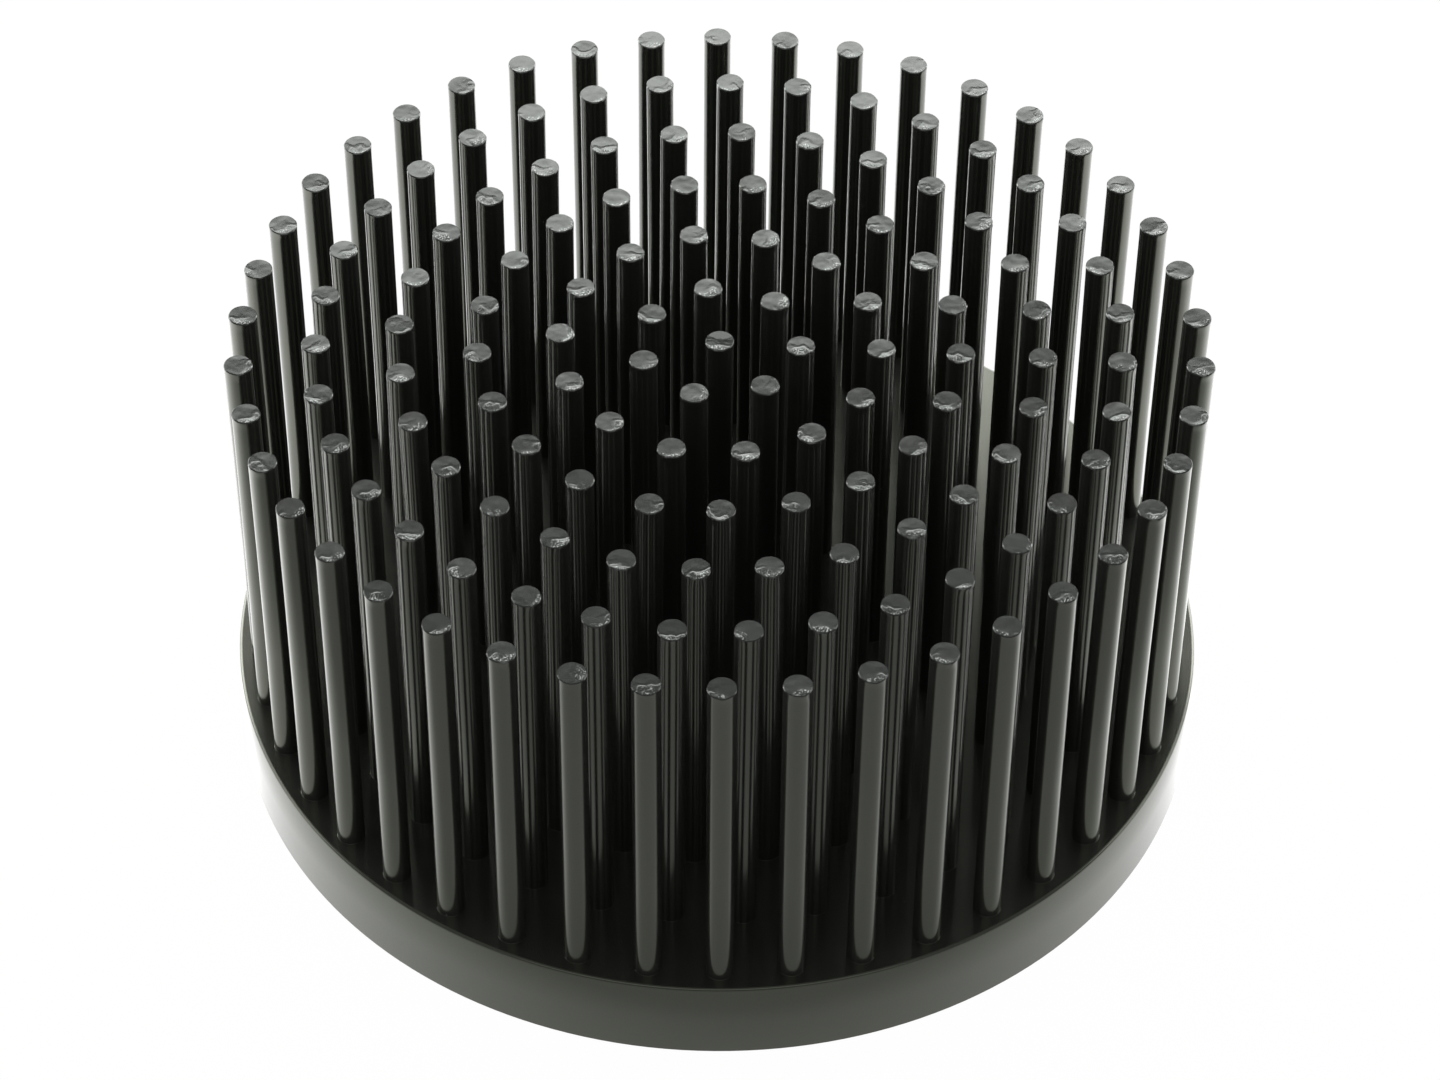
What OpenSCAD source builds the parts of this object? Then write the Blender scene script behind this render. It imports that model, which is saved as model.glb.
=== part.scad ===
// Round pin fin heat sink, cold forged from one slug of aluminium and anodised black.
// A plain round base carries a centre pin and rings of round pins round it.
// Millimetres. The origin is the centre of the base's underside, with +Z up along the pins.

/* [Base] */
// Diameter of the base
base_d = 100; // [50:1:120]
// Thickness of the base
base_t = 9.5; // [3:0.5:20]
// Radius round the top edge of the base
top_edge_r = 0.3; // [0.1:0.1:0.8]
// Chamfer round the underside of the base
foot_chamfer = 0.2; // [0.1:0.1:1]

/* [Pins] */
// Height of a pin above the base
pin_h = 40.5; // [10:0.5:60]
// Diameter of a pin's shaft
pin_d = 2.8; // [2:0.1:4]
// Radius of the fillet where a pin grows out of the base
root_r = 0.2; // [0.1:0.1:0.5]
// How far the sheared tip stands out past the shaft, all round
tip_flare = 0.1; // [0.02:0.02:0.2]
// Height over which the tip flares out
tip_flare_h = 0.9; // [0.4:0.1:2]
// Height of the rounded lip round the tip's end face
tip_lip_h = 0.2; // [0.1:0.1:0.5]
// Height of the low crown on the tip's end face
tip_crown_h = 0.15; // [0.05:0.05:0.4]

/* [Pattern] */
// Distance from one ring of pins to the next
ring_pitch = 8; // [6:0.25:12]
// Pins in the first ring, and the number that each further ring adds
pins_per_step = 7; // [4:1:8]
// Bare margin of the base outside the outer ring of pins
rim_margin = 1.1; // [0.8:0.1:5]

/* [Hidden] */

anodised_black = "#1c1e1d";

base_r = base_d / 2;
pin_r = pin_d / 2;
tip_r = pin_r + tip_flare;

// The outer ring is set by the rim, and the rings inside it by the pitch.
outer_ring_r = base_r - rim_margin - pin_r;
ring_count = round(outer_ring_r / ring_pitch);
function ring_r(ring) = ring < ring_count ? ring * ring_pitch : outer_ring_r;

// A pin's foot is sunk into the base by half of the base, so that the two are one solid.
pin_sink = base_t / 2;

base_segments = 180;
pin_segments = 48;
fillet_steps = 3;
crown_steps = 3;

// Points of an arc in the pin's half section, from angle a0 to angle a1.
function arc(cx, cz, rx, rz, a0, a1, steps) =
    [for (i = [0:steps]) let (a = a0 + (a1 - a0) * i / steps) [cx + rx * cos(a), cz + rz * sin(a)]];

// Round base with an eased top edge and a chamfered foot.
module base() {
    rotate_extrude($fn = base_segments)
        union() {
            polygon([
                [0, 0],
                [base_r - foot_chamfer, 0],
                [base_r, foot_chamfer],
                [base_r, base_t - top_edge_r],
                [base_r - top_edge_r, base_t - top_edge_r],
                [base_r - top_edge_r, base_t],
                [0, base_t]
            ]);
            translate([base_r - top_edge_r, base_t - top_edge_r])
                intersection() {
                    circle(r = top_edge_r, $fn = pin_segments);
                    square(top_edge_r);
                }
        }
}

// Half section of a pin, with z = 0 at the top of the base. The fillet's lowest chord is drawn
// out by half its length, so that it cuts the top of the base at a clear angle.
function fillet_points() = arc(pin_r + root_r, root_r, root_r, root_r, 270, 180, fillet_steps);
function fillet_toe() = let (p = fillet_points()) p[0] + (p[0] - p[1]) / 2;
function lip_bottom() = pin_h - tip_crown_h - tip_lip_h;

function pin_section() = concat(
    [[0, -pin_sink], [pin_r, -pin_sink], fillet_toe()],
    [for (i = [1:fillet_steps]) fillet_points()[i]],
    [[pin_r, lip_bottom() - tip_flare_h], [tip_r, lip_bottom()]],
    arc(0, pin_h - tip_crown_h, tip_r - tip_lip_h, tip_crown_h, 0, 90, crown_steps)
);

// One pin, standing on the base at the origin.
module pin() {
    translate([0, 0, base_t])
        rotate_extrude($fn = pin_segments)
            polygon(pin_section());
}

// Pins in a ring: ring 0 is the centre pin.
function pins_in(ring) = max(1, ring * pins_per_step);

// Every pin in its place, evenly spaced along its ring, with the first one on the X axis.
module pins() {
    for (ring = [0:ring_count], i = [0:pins_in(ring) - 1])
        rotate([0, 0, 360 * i / pins_in(ring)])
            translate([ring_r(ring), 0, 0])
                pin();
}

// The whole heat sink, forged in one piece.
module heat_sink() {
    color(anodised_black)
        union() {
            base();
            pins();
        }
}

heat_sink();
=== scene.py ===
"""Dresses the pin fin heat sink: the forged body with its sheared pin tips, its anodised
finishes, and a white studio stage. Metres, +Z up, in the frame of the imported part."""

import math
import random

import bmesh
import bpy
from mathutils import Matrix, Vector, noise


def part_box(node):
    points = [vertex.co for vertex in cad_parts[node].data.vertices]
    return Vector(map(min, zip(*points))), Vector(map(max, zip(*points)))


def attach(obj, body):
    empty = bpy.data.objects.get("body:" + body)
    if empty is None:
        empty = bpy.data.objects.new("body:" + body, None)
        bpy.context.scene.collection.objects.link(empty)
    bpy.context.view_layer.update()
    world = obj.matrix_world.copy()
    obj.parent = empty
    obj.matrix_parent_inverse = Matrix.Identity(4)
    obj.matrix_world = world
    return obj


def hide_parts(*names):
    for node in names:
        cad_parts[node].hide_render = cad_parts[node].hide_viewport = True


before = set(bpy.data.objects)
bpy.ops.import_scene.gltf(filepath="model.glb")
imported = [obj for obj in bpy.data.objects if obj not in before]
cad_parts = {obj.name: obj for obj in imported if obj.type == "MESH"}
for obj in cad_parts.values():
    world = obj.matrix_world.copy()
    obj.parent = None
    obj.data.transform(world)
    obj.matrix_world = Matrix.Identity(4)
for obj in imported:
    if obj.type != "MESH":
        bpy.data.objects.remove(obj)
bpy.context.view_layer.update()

bl_info = {
    "name": "Pin Fin Heat Sink",
    "version": (1, 0, 0),
    "blender": (4, 5, 0),
    "location": "3D View > Sidebar > Heat Sink",
    "description": "Builds a round forged pin fin heat sink and the studio stage it stands on",
    "category": "Add Mesh",
}

MM = 0.001
NODE = "heat_sink"

LOW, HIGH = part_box(NODE)
BASE_DIAMETER = HIGH.x - LOW.x
FULL_HEIGHT = HIGH.z - LOW.z

# Slots of the forging's mesh
FORGED, SHEARED, TURNED = range(3)


def linear(hex_colour, alpha=1.0):
    """An sRGB hex colour as the linear colour that Blender's sockets take."""
    channels = [int(hex_colour[i:i + 2], 16) / 255 for i in (1, 3, 5)]
    return tuple(c / 12.92 if c <= 0.04045 else ((c + 0.055) / 1.055) ** 2.4
                 for c in channels) + (alpha,)


def add_node(tree, kind, inputs=(), **settings):
    """Adds a node, sets its properties, then sets or links its inputs by name or index."""
    new = tree.nodes.new(kind)
    for name, value in settings.items():
        setattr(new, name, value)
    for key, value in dict(inputs).items():
        if isinstance(value, bpy.types.NodeSocket):
            tree.links.new(value, new.inputs[key])
        else:
            new.inputs[key].default_value = value
    return new


def new_material(name):
    """An empty node material with its output node."""
    material = bpy.data.materials.new(name)
    material.use_nodes = True
    material.node_tree.nodes.clear()
    return material, material.node_tree


def smoothstep(low, high, value):
    """0 below low, 1 above high, and a smooth step between."""
    t = min(max((value - low) / (high - low), 0.0), 1.0)
    return t * t * (3 - 2 * t)


# ---------------------------------------------------------------- settings


class HeatSinkSettings(bpy.types.PropertyGroup):
    """Sizes of the forging, and the seed of its small differences."""

    base_thickness: bpy.props.FloatProperty(
        name="Base thickness", description="Thickness of the round base",
        default=9.5 * MM, unit="LENGTH", precision=5)
    top_edge_radius: bpy.props.FloatProperty(
        name="Top edge radius", description="Rounding of the base's upper rim",
        default=0.3 * MM, unit="LENGTH", precision=5)
    foot_chamfer: bpy.props.FloatProperty(
        name="Foot chamfer", description="Chamfer round the underside",
        default=0.2 * MM, unit="LENGTH", precision=5)
    pin_diameter: bpy.props.FloatProperty(
        name="Pin diameter", description="Diameter of a pin's shaft",
        default=2.8 * MM, unit="LENGTH", precision=5)
    root_radius: bpy.props.FloatProperty(
        name="Root radius", description="Fillet where a pin grows out of the base",
        default=0.03 * MM, unit="LENGTH", precision=5)
    tip_flare: bpy.props.FloatProperty(
        name="Tip flare", description="How far a sheared tip stands out past the shaft",
        default=0.03 * MM, unit="LENGTH", precision=5)
    ring_pitch: bpy.props.FloatProperty(
        name="Ring pitch", description="Distance from one ring of pins to the next",
        default=8.0 * MM, unit="LENGTH", precision=5)
    pins_per_step: bpy.props.IntProperty(
        name="Pins per step", description="Pins in the first ring, and what each ring adds",
        default=7, min=3)
    rim_margin: bpy.props.FloatProperty(
        name="Rim margin", description="Bare margin of the base outside the outer pins",
        default=1.3 * MM, unit="LENGTH", precision=5)
    splay: bpy.props.FloatProperty(
        name="Splay", description="How far the outer pins' tips stand outwards of their feet",
        default=0.4 * MM, unit="LENGTH", precision=5)
    seed: bpy.props.IntProperty(
        name="Seed", description="Seed of the small differences from pin to pin", default=11)


class StageSettings(bpy.types.PropertyGroup):
    """The studio stage and its camera."""

    camera_azimuth: bpy.props.FloatProperty(
        name="Camera azimuth", description="Heading of the camera round the heat sink",
        default=math.radians(3.6), subtype="ANGLE")


# ---------------------------------------------------------------- materials


FILM = "#222320"


def anodised_forged():
    """Aluminium, cold forged and black anodised: the dyed oxide film is a dark glassy skin
    over faint draw lines, so it looks near black face on and mirrors white at a glance."""
    material, tree = new_material("anodised_aluminium_forged")
    coords = add_node(tree, "ShaderNodeTexCoord").outputs["Object"]
    # Draw lines run along the pins, about 0.25 mm apart round them and 12 mm long.
    stretch = add_node(tree, "ShaderNodeMapping", {"Vector": coords, "Scale": (1, 1, 0.02)})
    lines = add_node(tree, "ShaderNodeTexNoise", {
        "Vector": stretch.outputs[0], "Scale": 1 / (0.25 * MM), "Detail": 3, "Roughness": 0.6})
    bump = add_node(tree, "ShaderNodeBump", {
        "Strength": 0.03, "Distance": 0.01 * MM, "Height": lines.outputs["Fac"]})
    # The film's gloss drifts slightly over about 6 mm.
    drift = add_node(tree, "ShaderNodeTexNoise", {
        "Vector": coords, "Scale": 1 / (6 * MM), "Detail": 2, "Roughness": 0.5})
    rough = add_node(tree, "ShaderNodeMapRange", {
        "Value": drift.outputs["Fac"], "From Min": 0.3, "From Max": 0.7,
        "To Min": 0.17, "To Max": 0.21})
    # Specks of dust and pale scuffs, about 0.15 mm across and 5 mm apart.
    cells = add_node(tree, "ShaderNodeTexVoronoi", {"Vector": coords, "Scale": 1 / (5 * MM)})
    specks = add_node(tree, "ShaderNodeMapRange", {
        "Value": cells.outputs["Distance"], "From Min": 0.01, "From Max": 0.022,
        "To Min": 0.6, "To Max": 0.0})
    colour = add_node(tree, "ShaderNodeMix", {
        "Factor": specks.outputs[0], "A": linear(FILM), "B": linear("#6e6f6a")},
        data_type="RGBA")
    skin = add_node(tree, "ShaderNodeBsdfPrincipled", {
        "Base Color": colour.outputs["Result"], "Metallic": 0.0, "IOR": 1.65,
        "Specular Tint": linear("#f9ffe9"),
        "Roughness": rough.outputs[0], "Normal": bump.outputs[0]})
    add_node(tree, "ShaderNodeOutputMaterial", {"Surface": skin.outputs[0]})
    return material


def anodised_sheared():
    """Aluminium, sheared to length and black anodised: the film lies over torn metal, so the
    ends look satin grey, with a dented, cracked break towards a ragged burr. The crack's
    darkness is painted shade, and the burr's pale grains are partly painted glints."""
    material, tree = new_material("anodised_aluminium_sheared")
    # Place on the end face in tip radii: u runs towards the burr, w across, and z tells the
    # pins apart.
    place = add_node(tree, "ShaderNodeAttribute", attribute_name="tip").outputs["Vector"]
    split = add_node(tree, "ShaderNodeSeparateXYZ", {"Vector": place}).outputs
    u = split["X"]

    def math_node(operation, *values):
        return add_node(tree, "ShaderNodeMath", dict(enumerate(values)),
                        operation=operation).outputs[0]

    def noise_node(scale, detail, roughness=0.5):
        return add_node(tree, "ShaderNodeTexNoise", {
            "Vector": place, "Scale": scale, "Detail": detail,
            "Roughness": roughness}).outputs["Fac"]

    def ramp(value, low, high, start=0.0, end=1.0):
        return add_node(tree, "ShaderNodeMapRange", {
            "Value": value, "From Min": low, "From Max": high, "To Min": start, "To Max": end},
            interpolation_type="SMOOTHSTEP").outputs[0]

    # Noise of about 3 mm decides how far a tip is torn, 1.5 mm shapes the break, 0.4 mm frays
    # it, and 0.15 mm grains it.
    amount = ramp(noise_node(0.5, 0), 0.4, 0.6)
    broad = noise_node(1.0, 1)
    tears = noise_node(3.6, 3, 0.6)
    grain = noise_node(9.0, 2)
    wander = math_node("MULTIPLY_ADD", broad, 2.0, -1.0)
    frayed = math_node("MULTIPLY_ADD", tears, 0.3, -0.15)
    reach = math_node("ADD", math_node("ADD", u, wander), frayed)
    # The break: a shallow dent, then a crack, then a raised and ragged lip up to the edge.
    dent = math_node("MULTIPLY", ramp(reach, -0.1, 0.3), ramp(reach, 0.3, 0.5, 1.0, 0.0))
    off_crack = math_node("ABSOLUTE", math_node("SUBTRACT", reach, 0.4))
    crack = math_node("MULTIPLY", ramp(off_crack, 0.0, 0.08, 1.0, 0.0), ramp(tears, 0.5, 0.62))
    crack = math_node("MULTIPLY", crack, amount)
    lip = math_node("MULTIPLY", ramp(reach, 0.4, 1.1), math_node("ADD", amount, 0.35))
    # Only the face is grained, not the rim below it.
    flat_place = add_node(tree, "ShaderNodeCombineXYZ", {"X": u, "Y": split["Y"]}).outputs[0]
    out = add_node(tree, "ShaderNodeVectorMath", {0: flat_place}, operation="LENGTH")
    on_face = ramp(out.outputs["Value"], 0.86, 0.96, 1.0, 0.0)
    ragged = math_node("MULTIPLY", ramp(reach, 0.5, 0.8), ramp(grain, 0.5, 0.66))
    ragged = math_node("MULTIPLY", ragged, on_face)
    height = math_node("MULTIPLY", math_node("MULTIPLY", dent, amount), -0.015 * MM)
    height = math_node("MULTIPLY_ADD", lip, 0.014 * MM, height)
    height = math_node("MULTIPLY_ADD", crack, -0.02 * MM, height)
    height = math_node("MULTIPLY_ADD", ragged, 0.004 * MM, height)
    height = math_node("MULTIPLY_ADD", broad, 0.03 * MM, height)
    bump = add_node(tree, "ShaderNodeBump", {
        "Strength": 1.0, "Distance": 1.0, "Height": height})
    rough = add_node(tree, "ShaderNodeMapRange", {
        "Value": lip, "To Min": 0.2, "To Max": 0.17})
    # Painted shade in the crack: its reflection is turned down here, as light doesn't come
    # back out of it.
    shine = ramp(crack, 0.0, 1.0, 0.5, 0.12)
    # Painted shade: the film's colour is darkened in the crack.
    film = add_node(tree, "ShaderNodeMix", {
        "Factor": crack, "A": linear("#202220"), "B": linear("#0b0c0b")}, data_type="RGBA")
    # Grains of the lip are worn through to metal; their pale colour is also a painted glint.
    colour = add_node(tree, "ShaderNodeMix", {
        "Factor": ragged, "A": film.outputs["Result"], "B": linear("#a9aca8")},
        data_type="RGBA")
    skin = add_node(tree, "ShaderNodeBsdfPrincipled", {
        "Base Color": colour.outputs["Result"], "Metallic": 0.0, "IOR": 1.6,
        "Specular IOR Level": shine, "Specular Tint": linear("#f9fff8"),
        "Roughness": rough.outputs[0], "Normal": bump.outputs[0]})
    add_node(tree, "ShaderNodeOutputMaterial", {"Surface": skin.outputs[0]})
    return material


def anodised_turned():
    """Aluminium, turned and black anodised: fine rings left by the tool draw the reflections
    out into a soft band round the base."""
    material, tree = new_material("anodised_aluminium_turned")
    coords = add_node(tree, "ShaderNodeTexCoord").outputs["Object"]
    # Tool marks: rings round Z about 0.12 mm apart, on the side and across the underside.
    parts = add_node(tree, "ShaderNodeSeparateXYZ", {"Vector": coords}).outputs
    flat = add_node(tree, "ShaderNodeCombineXYZ", {"X": parts["X"], "Y": parts["Y"]})
    radius = add_node(tree, "ShaderNodeVectorMath", {0: flat.outputs[0]}, operation="LENGTH")
    ring = add_node(tree, "ShaderNodeCombineXYZ", {
        "X": radius.outputs["Value"], "Z": parts["Z"]})
    marks = add_node(tree, "ShaderNodeTexNoise", {
        "Vector": ring.outputs[0], "Scale": 1 / (0.15 * MM), "Detail": 2})
    bump = add_node(tree, "ShaderNodeBump", {
        "Strength": 0.25, "Distance": 0.008 * MM, "Height": marks.outputs["Fac"]})
    skin = add_node(tree, "ShaderNodeBsdfPrincipled", {
        "Base Color": linear(FILM), "Metallic": 0.0, "IOR": 1.7,
        "Specular Tint": linear("#f9ffe9"),
        "Roughness": 0.18, "Normal": bump.outputs[0]})
    add_node(tree, "ShaderNodeOutputMaterial", {"Surface": skin.outputs[0]})
    return material


# ---------------------------------------------------------------- forging


BASE_SEGMENTS = 192
PIN_SEGMENTS = 24
FILLET_STEPS = 3


def lathe(bm, profile, segments):
    """Spins a profile of (radius, height) points into a surface round Z, poles closed."""
    verts = [bm.verts.new((r, 0, z)) for r, z in profile]
    edges = [bm.edges.new(pair) for pair in zip(verts, verts[1:])]
    before = set(bm.faces)
    bmesh.ops.spin(bm, geom=verts + edges, cent=(0, 0, 0), axis=(0, 0, 1),
                   angle=2 * math.pi, steps=segments, use_merge=True)
    faces = [f for f in bm.faces if f not in before]
    points = list({v for f in faces for v in f.verts})
    bmesh.ops.remove_doubles(bm, verts=points, dist=1e-7)
    return [f for f in bm.faces if f not in before]


def arc(centre_r, centre_z, radius, start, end, steps):
    """Profile points along an arc, from start to end degrees."""
    turns = [math.radians(start + (end - start) * i / steps) for i in range(steps + 1)]
    return [(centre_r + radius * math.cos(a), centre_z + radius * math.sin(a)) for a in turns]


def base_profile(s):
    """Half section of the base without its top face, from the middle of the underside out."""
    r, t = BASE_DIAMETER / 2, s.base_thickness
    edge = s.top_edge_radius
    return [(0, 0), (r * 0.5, 0), (r - s.foot_chamfer, 0), (r, s.foot_chamfer),
            (r, t / 2)] + arc(r - edge, t - edge, edge, 0, 90, FILLET_STEPS)


def pin_profile(s):
    """Half section of a pin, from its fillet's toe on the base up to the middle of its tip."""
    r, t = s.pin_diameter / 2, s.base_thickness
    top = FULL_HEIGHT - 0.03 * MM
    tip = r + s.tip_flare
    fillet = arc(r + s.root_radius, t + s.root_radius, s.root_radius, 270, 180, FILLET_STEPS)
    shaft = [(r, t + (top - t) * share) for share in (0.35, 0.7)]
    flare = [(r, top - 1.3 * MM), (r + 0.4 * s.tip_flare, top - 0.55 * MM),
             (tip, top - 0.22 * MM), (tip, top - 0.1 * MM)]
    face = [(tip - 0.08 * MM, top), (tip * 0.86, top), (tip * 0.68, top), (tip * 0.46, top),
            (tip * 0.22, top), (0, top)]
    return fillet + shaft + flare + face


def ring_places(s):
    """Where each pin stands: (x, y) on evenly filled rings that all start on the X axis."""
    outer = BASE_DIAMETER / 2 - s.rim_margin - s.pin_diameter / 2
    rings = round(outer / s.ring_pitch)
    places = [(0.0, 0.0)]
    for ring in range(1, rings + 1):
        radius = ring * s.ring_pitch if ring < rings else outer
        count = ring * s.pins_per_step
        for i in range(count):
            turn = 2 * math.pi * i / count
            places.append((radius * math.cos(turn), radius * math.sin(turn)))
    return places


def shear_tip(verts, s, top, outward, tip_layer, rng):
    """Gives one pin, still standing at the origin, its own sheared tip and slight lean."""
    tip = s.pin_diameter / 2 + s.tip_flare
    bottom = s.base_thickness
    heading = math.radians(-68) + rng.gauss(0, math.radians(24))
    along = Vector((math.cos(heading), math.sin(heading), 0))
    across = Vector((-along.y, along.x, 0))
    tilt = rng.uniform(0.0, 0.04) * MM
    burr = rng.uniform(0.01, 0.08) * MM
    lip_width = rng.uniform(0.10, 0.22)
    shorter = (0.005 + abs(rng.gauss(0, 0.02))) * MM
    lean = outward + Vector((rng.gauss(0, 0.08), rng.gauss(0, 0.08), 0)) * MM
    salt = Vector((0, 0, rng.uniform(-90, 90)))
    for v in verts:
        rise = max((v.co.z - bottom) / (top - bottom), 0.0)
        near_tip = smoothstep(top - 1.0 * MM, top - 0.15 * MM, v.co.z)
        flat = Vector((v.co.x, v.co.y, 0))
        u, w = flat.dot(along) / tip, flat.dot(across) / tip
        v[tip_layer] = Vector((u, w, 0)) + salt
        if near_tip > 0:
            wobble = noise.noise(v[tip_layer] * 2.2)
            fine = noise.noise(v[tip_layer] * 5.5)
            edge = smoothstep(0.8, 1.0, math.hypot(u, w))
            burr_side = smoothstep(1 - lip_width * 2.4, 1 - lip_width * 0.4, u)
            push = (0.03 * wobble + 0.02 * fine) * MM * edge
            push += burr * burr_side * edge * (0.8 + fine)
            push -= 0.01 * MM * smoothstep(0.5, 1.0, -u) * edge
            if flat.length > 1e-6:
                v.co += flat.normalized() * push * near_tip
            dz = -tilt * (u + 1) - shorter
            dz += burr * 0.06 * burr_side * (0.9 + 0.9 * fine)
            v.co.z = min(v.co.z + dz * near_tip, FULL_HEIGHT)
        v.co += lean * rise ** 1.6


def build_forging(s):
    """The whole forging as one closed skin: base, fillets, pins and sheared tips."""
    rng = random.Random(s.seed)
    bm = bmesh.new()
    tip_layer = bm.verts.layers.float_vector.new("tip")
    for f in lathe(bm, base_profile(s), BASE_SEGMENTS):
        f.material_index = TURNED
        f.smooth = True
    top = FULL_HEIGHT - 0.03 * MM

    master = bmesh.new()
    master.verts.layers.float_vector.new("tip")
    for f in lathe(master, pin_profile(s), PIN_SEGMENTS):
        f.material_index = SHEARED if f.calc_center_median().z > top - 0.09 * MM else FORGED
        f.smooth = True
    mesh = bpy.data.meshes.new("pin_master")
    master.to_mesh(mesh)
    master.free()

    places = ring_places(s)
    outer = max(math.hypot(x, y) for x, y in places)
    for x, y in places:
        before = len(bm.verts)
        bm.from_mesh(mesh)
        bm.verts.ensure_lookup_table()
        verts = bm.verts[before:]
        # The splay falls off fast from the outer ring inwards.
        outward = Vector((x, y, 0)) / outer * s.splay * (math.hypot(x, y) / outer) ** 5
        shear_tip(verts, s, top, outward, tip_layer, rng)
        bmesh.ops.translate(bm, verts=verts, vec=(x, y, 0))
    bpy.data.meshes.remove(mesh)

    # The base's top face, with a hole for each pin's foot, is one flat face to the eye.
    rims = [e for e in bm.edges if e.is_boundary]
    filled = bmesh.ops.triangle_fill(bm, edges=rims, use_beauty=True, normal=(0, 0, 1))
    for f in filled["geom"]:
        if isinstance(f, bmesh.types.BMFace):
            f.material_index = FORGED
            f.smooth = False
    bmesh.ops.recalc_face_normals(bm, faces=bm.faces)
    for e in bm.edges:
        if e.calc_face_angle(0) > math.radians(32):
            e.smooth = False
    return bm


# ---------------------------------------------------------------- operators


class MESH_OT_heat_sink_forging(bpy.types.Operator):
    """Build the forged body with its pins and sheared tips"""

    bl_idname = "mesh.heat_sink_forging"
    bl_label = "Add Heat Sink Forging"
    bl_options = {"REGISTER", "UNDO"}

    def execute(self, context):
        settings = context.scene.heat_sink
        bm = build_forging(settings)
        mesh = bpy.data.meshes.new("heat_sink_forging")
        bm.to_mesh(mesh)
        bm.free()
        for make in (anodised_forged, anodised_sheared, anodised_turned):
            mesh.materials.append(make())
        forging = bpy.data.objects.new("heat_sink_forging", mesh)
        context.scene.collection.objects.link(forging)
        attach(forging, "root")
        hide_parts(NODE)
        return {"FINISHED"}


def white_floor(azimuth):
    """Seamless white paper: it stays white to the eye and keeps a trace of the object's
    shadow. Reflections see it as a painted glow instead: grey in front, a painted shadow of
    the object, rising to a painted backlight of brilliant white behind it."""
    material, tree = new_material("studio_paper")
    path = add_node(tree, "ShaderNodeLightPath")
    eye = path.outputs["Is Camera Ray"]
    # The painted light behind stands a little to the left.
    lean = math.radians(4)
    back = add_node(tree, "ShaderNodeVectorMath", {
        0: add_node(tree, "ShaderNodeTexCoord").outputs["Object"],
        1: (-math.sin(azimuth + lean), math.cos(azimuth + lean), 0)}, operation="DOT_PRODUCT")
    # Painted shadow and light seen in reflections: the glow rises from 0.61 in front of the
    # object to 2.65 just behind its middle, then fades towards the back.
    sweep = add_node(tree, "ShaderNodeMapRange", {
        "Value": back.outputs["Value"], "From Min": -57 * MM, "From Max": -5 * MM,
        "To Min": 0.61, "To Max": 2.65})
    fade = add_node(tree, "ShaderNodeMapRange", {
        "Value": back.outputs["Value"], "From Min": 5 * MM, "From Max": 80 * MM,
        "To Min": 1.0, "To Max": 0.62})
    painted_backlight = add_node(tree, "ShaderNodeMath", {
        0: sweep.outputs[0], 1: fade.outputs[0]}, operation="MULTIPLY")
    strength = add_node(tree, "ShaderNodeMix", {
        "Factor": eye, "A": painted_backlight.outputs[0], "B": 1.0})
    seen = add_node(tree, "ShaderNodeMath", {0: eye, 1: 0.985}, operation="MULTIPLY")
    share = add_node(tree, "ShaderNodeMath", {
        0: path.outputs["Is Glossy Ray"], 1: 0.9, 2: seen.outputs[0]},
        operation="MULTIPLY_ADD")
    paper = add_node(tree, "ShaderNodeBsdfDiffuse", {"Color": linear("#f4f4f2")})
    glow = add_node(tree, "ShaderNodeEmission", {
        "Color": linear("#ffffff"), "Strength": strength.outputs[0]})
    mix = add_node(tree, "ShaderNodeMixShader", {
        0: share.outputs[0], 1: paper.outputs[0], 2: glow.outputs[0]})
    # From below the paper is clear, so that the underside can be looked at.
    clear = add_node(tree, "ShaderNodeBsdfTransparent")
    sided = add_node(tree, "ShaderNodeMixShader", {
        0: add_node(tree, "ShaderNodeNewGeometry").outputs["Backfacing"],
        1: mix.outputs[0], 2: clear.outputs[0]})
    add_node(tree, "ShaderNodeOutputMaterial", {"Surface": sided.outputs[0]})
    return material


def soft_panel(scene, name, heading, place, size, radiance):
    """A soft lamp of the given width and height that stands upright and faces the middle. The
    camera doesn't see it."""
    panel = bpy.data.lights.new(name, "AREA")
    panel.shape = "RECTANGLE"
    panel.size, panel.size_y = size
    panel.energy = radiance * math.pi * panel.size * panel.size_y
    lamp = bpy.data.objects.new(name, panel)
    at = heading @ Vector(place)
    facing = (Vector((0, 0, at.z)) - at).to_track_quat("-Z", "Y")
    lamp.matrix_world = Matrix.Translation(at) @ facing.to_matrix().to_4x4()
    lamp.visible_camera = False
    scene.collection.objects.link(lamp)


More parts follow.
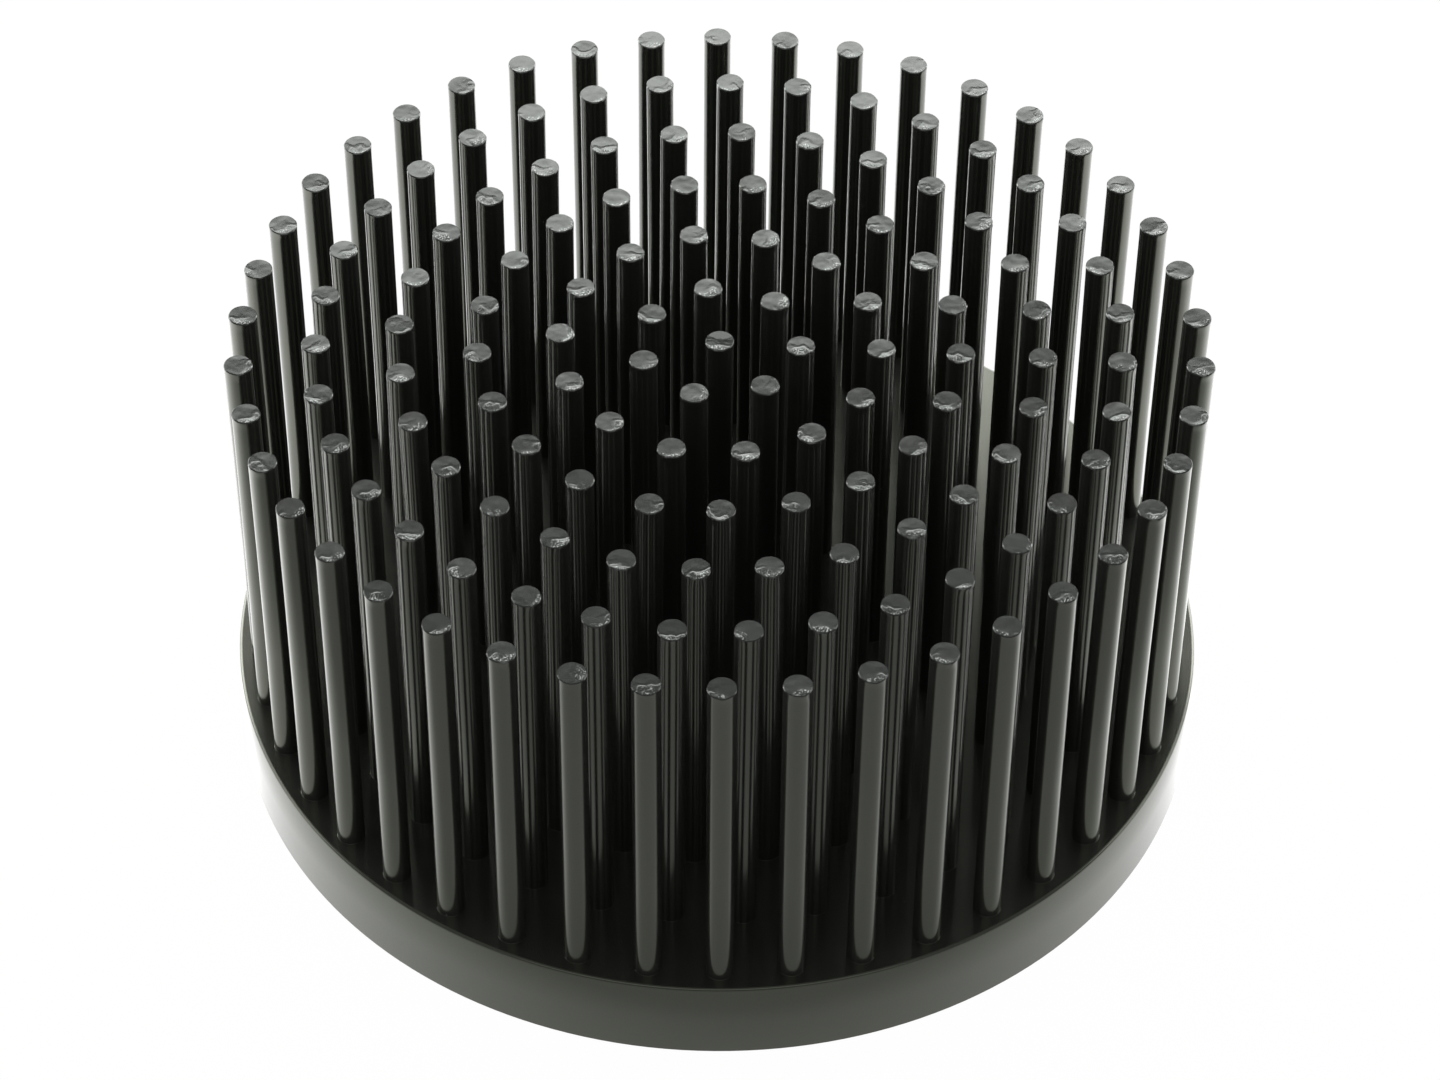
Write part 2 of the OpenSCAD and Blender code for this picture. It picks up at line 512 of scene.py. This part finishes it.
class SCENE_OT_heat_sink_stage(bpy.types.Operator):
    """Set up the white studio floor, the soft lights and the camera"""

    bl_idname = "scene.heat_sink_stage"
    bl_label = "Set Up Studio Stage"
    bl_options = {"REGISTER", "UNDO"}

    def execute(self, context):
        scene = context.scene
        settings = scene.heat_sink_stage
        bm = bmesh.new()
        bmesh.ops.create_grid(bm, x_segments=1, y_segments=1, size=4.0)
        bmesh.ops.translate(bm, verts=bm.verts, vec=(0, 0, LOW.z - 0.02 * MM))
        mesh = bpy.data.meshes.new("studio_floor")
        bm.to_mesh(mesh)
        bm.free()
        mesh.materials.append(white_floor(settings.camera_azimuth))
        floor = bpy.data.objects.new("studio_floor", mesh)
        scene.collection.objects.link(floor)

        world = bpy.data.worlds.new("studio_surround")
        world.use_nodes = True
        world.node_tree.nodes.clear()
        # White to the eye, and a dim fill to the object.
        eye = add_node(world.node_tree, "ShaderNodeLightPath").outputs["Is Camera Ray"]
        level = add_node(world.node_tree, "ShaderNodeMix", {"Factor": eye, "A": 0.3, "B": 1.0})
        back = add_node(world.node_tree, "ShaderNodeBackground", {
            "Color": linear("#ffffff"), "Strength": level.outputs[0]})
        add_node(world.node_tree, "ShaderNodeOutputWorld", {"Surface": back.outputs[0]})
        scene.world = world

        # The panel behind lights the sheared tips from low down, and the side panels fill in.
        heading = Matrix.Rotation(settings.camera_azimuth, 4, "Z")
        soft_panel(scene, "back_panel", heading, (-0.05, 0.7, 0.332), (2.4, 0.68), 5.7)
        soft_panel(scene, "left_panel", heading, (-0.6, 0.25, 0.35), (0.6, 0.6), 2.0)
        soft_panel(scene, "right_panel", heading, (0.6, 0.25, 0.35), (0.6, 0.6), 2.0)
        soft_panel(scene, "front_panel", heading, (0, -0.5, 0.85), (1.0, 0.7), 0.9)

        camera_data = bpy.data.cameras.new("camera")
        camera_data.sensor_width = 36.0
        camera_data.lens = 126.08
        camera_data.clip_start, camera_data.clip_end = 0.01, 20.0
        camera = bpy.data.objects.new("camera", camera_data)
        tilt = Matrix.Rotation(math.radians(90 - 44.8), 4, "X")
        roll = Matrix.Rotation(math.radians(0.57), 4, "Z")
        place = Matrix.Translation((0.0002, -0.36925, 0.3887))
        camera.matrix_world = heading @ place @ tilt @ roll
        scene.collection.objects.link(camera)
        scene.camera = camera
        scene.view_settings.view_transform = "Standard"
        return {"FINISHED"}


class VIEW3D_PT_heat_sink(bpy.types.Panel):
    """Heat sink tools in the sidebar"""

    bl_idname = "VIEW3D_PT_heat_sink"
    bl_label = "Heat Sink"
    bl_space_type = "VIEW_3D"
    bl_region_type = "UI"
    bl_category = "Heat Sink"

    def draw(self, context):
        column = self.layout.column()
        for group in (context.scene.heat_sink, context.scene.heat_sink_stage):
            for name in group.__annotations__:
                column.prop(group, name)
        for operator in OPERATORS:
            column.operator(operator.bl_idname)


GROUPS = {"heat_sink": HeatSinkSettings, "heat_sink_stage": StageSettings}
OPERATORS = (MESH_OT_heat_sink_forging, SCENE_OT_heat_sink_stage)
CLASSES = (*GROUPS.values(), *OPERATORS, VIEW3D_PT_heat_sink)


def register():
    for cls in CLASSES:
        bpy.utils.register_class(cls)
    for name, group in GROUPS.items():
        setattr(bpy.types.Scene, name, bpy.props.PointerProperty(type=group))


def unregister():
    for name in GROUPS:
        delattr(bpy.types.Scene, name)
    for cls in reversed(CLASSES):
        bpy.utils.unregister_class(cls)


def main():
    register()
    bpy.ops.mesh.heat_sink_forging()
    bpy.ops.scene.heat_sink_stage()
    bpy.context.view_layer.update()


if __name__ == "__main__":
    main()
